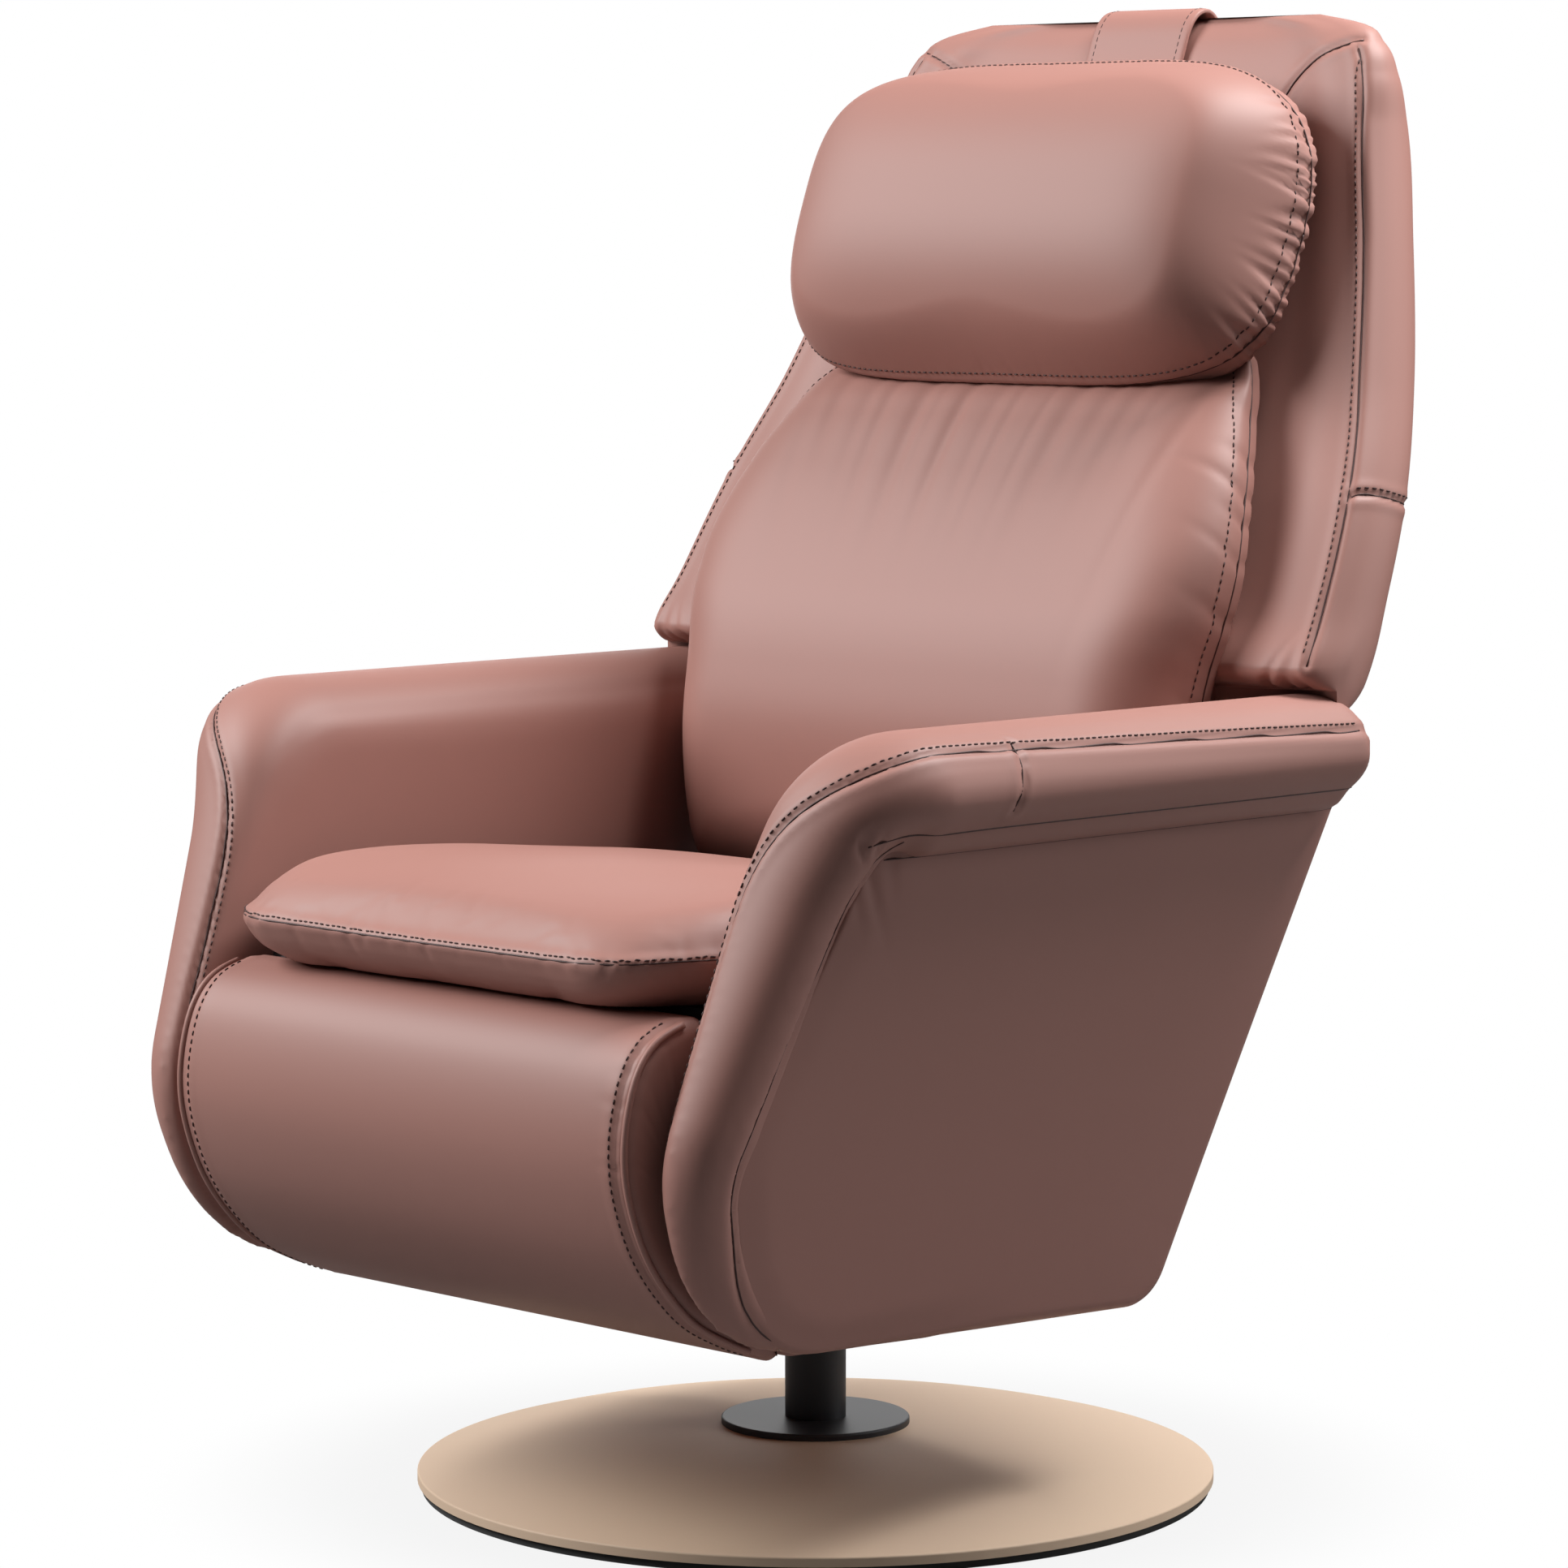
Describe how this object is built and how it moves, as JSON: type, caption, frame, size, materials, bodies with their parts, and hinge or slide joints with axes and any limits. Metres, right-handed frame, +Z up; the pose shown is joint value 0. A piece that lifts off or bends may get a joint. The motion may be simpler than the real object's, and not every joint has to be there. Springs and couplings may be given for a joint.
{
  "type": "swivel recliner",
  "caption": "Powered swivel recliner: leather shell armchair on a round oak disc base, with a reclining back, a swing-out leg rest and a sliding head pillow.",
  "frame": {"origin": "where the swivel axis meets the floor, at the middle of the disc base", "axes": "+Z up, the chair faces -Y, +X is the sitter's left"},
  "size_m": [0.756, 0.816, 1.1134],
  "materials": {
    "leather": "smooth semi-aniline, satin",
    "oak": "lacquered light oak veneer",
    "sole": "matt",
    "ballast": "as cast",
    "black_steel": "satin black powder coat",
    "frame_steel": "black powder coat",
    "bright_steel": "zinc plated",
    "bronze": "sintered bronze",
    "slide_plastic": "natural acetal",
    "black_plastic": "fine grain",
    "plywood": "bare birch plywood",
    "webbing": "woven elastic"
  },
  "bodies": {
    "base": {"base_sole": "sole", "base_weight_plate": "ballast", "base_disc": "oak", "column_flange": "black_steel", "column_tube": "black_steel", "column_bushes": "bronze", "thrust_washer": "slide_plastic", "base_screws": "bright_steel"},
    "seat": {"swivel_spindle": "bright_steel", "spindle_clip": "bright_steel", "hub_plate": "frame_steel", "hub_bolts": "bright_steel", "tower_plates": "frame_steel", "tower_crossbars": "frame_steel", "seat_rails": "frame_steel", "seat_crossbars": "frame_steel", "seat_webbing": "webbing", "seat_cushion": "leather", "belly_cover": "leather", "rear_panel": "leather", "side_liner_left": "leather", "side_board_left": "plywood", "side_panel_left": "leather", "front_band_left": "leather", "armrest_left": "leather", "side_liner_right": "leather", "side_board_right": "plywood", "side_panel_right": "leather", "front_band_right": "leather", "armrest_right": "leather", "side_bolts": "bright_steel", "legrest_drive": "black_plastic", "recline_drive": "black_plastic", "drive_motors": "black_steel", "battery_pack": "black_plastic", "legrest_brackets": "frame_steel", "recline_brackets": "frame_steel", "pivot_pins": "bright_steel", "switch_plate": "black_plastic"},
    "legrest_swing": {"legrest_pivot_tube": "frame_steel", "legrest_arms": "bright_steel"},
    "legrest": {"legrest_pad": "leather", "legrest_board": "plywood", "legrest_runners": "slide_plastic"},
    "legrest_rod": {"legrest_rod": "bright_steel"},
    "recline_rod": {"recline_rod": "bright_steel"},
    "back": {"back_board": "plywood", "back_front_pad": "leather", "back_rear_cover": "leather", "back_pivot_tube": "frame_steel", "back_hinge_plates": "frame_steel", "back_cushion": "leather", "headrest_strap": "leather"},
    "head_pillow": {"headrest_pillow": "leather"},
    "head_weight": {"headrest_weight": "leather"},
    "switch_button_1": {"button_1": "bright_steel"},
    "switch_button_2": {"button_2": "bright_steel"},
    "switch_button_3": {"button_3": "bright_steel"},
    "switch_button_4": {"button_4": "bright_steel"}
  },
  "joints": [
    {"name": "swivel", "type": "hinge", "parent": "base", "child": "seat", "pos_m": [0, 0, 0.17], "axis": [0, 0, 1], "continuous": true},
    {"name": "legrest_lift", "type": "hinge", "parent": "seat", "child": "legrest_swing", "pos_m": [0, -0.338, 0.392], "axis": [-1, 0, 0], "range_deg": [0, 84]},
    {"name": "legrest_extend", "type": "slide", "parent": "legrest_swing", "child": "legrest", "axis": [0, 0, -1], "range_m": [0, 0.11]},
    {"name": "legrest_rod_slide", "type": "slide", "parent": "seat", "child": "legrest_rod", "axis": [0, -1, 0], "range_m": [0, 0.07361]},
    {"name": "recline", "type": "hinge", "parent": "seat", "child": "back", "pos_m": [0, 0.135, 0.43], "axis": [-1, 0, 0], "range_deg": [0, 30]},
    {"name": "recline_rod_slide", "type": "slide", "parent": "seat", "child": "recline_rod", "axis": [0, -1, 0], "range_m": [0, 0.02929]},
    {"name": "headrest_height", "type": "slide", "parent": "back", "child": "head_pillow", "axis": [0, 0.342, 0.9397], "range_m": [0, 0.06]},
    {"name": "headrest_weight_slide", "type": "slide", "parent": "back", "child": "head_weight", "axis": [0, -0.2672, -0.9636], "range_m": [0, 0.0601]},
    {"name": "button_1_press", "type": "slide", "parent": "seat", "child": "switch_button_1", "axis": [1, 0, 0], "range_m": [0, 0.0012], "stiffness_N_per_m": 400, "springref_m": -0.0005},
    {"name": "button_2_press", "type": "slide", "parent": "seat", "child": "switch_button_2", "axis": [1, 0, 0], "range_m": [0, 0.0012], "stiffness_N_per_m": 400, "springref_m": -0.0005},
    {"name": "button_3_press", "type": "slide", "parent": "seat", "child": "switch_button_3", "axis": [1, 0, 0], "range_m": [0, 0.0012], "stiffness_N_per_m": 400, "springref_m": -0.0005},
    {"name": "button_4_press", "type": "slide", "parent": "seat", "child": "switch_button_4", "axis": [1, 0, 0], "range_m": [0, 0.0012], "stiffness_N_per_m": 400, "springref_m": -0.0005}
  ],
  "couplings": [
    {"joint": "legrest_extend", "follows": "legrest_lift", "m_per_rad": 0.07503},
    {"joint": "legrest_rod_slide", "follows": "legrest_lift", "m_per_rad": 0.0502},
    {"joint": "recline_rod_slide", "follows": "recline", "m_per_rad": 0.05592},
    {"joint": "headrest_weight_slide", "follows": "headrest_height", "ratio": 1}
  ]
}
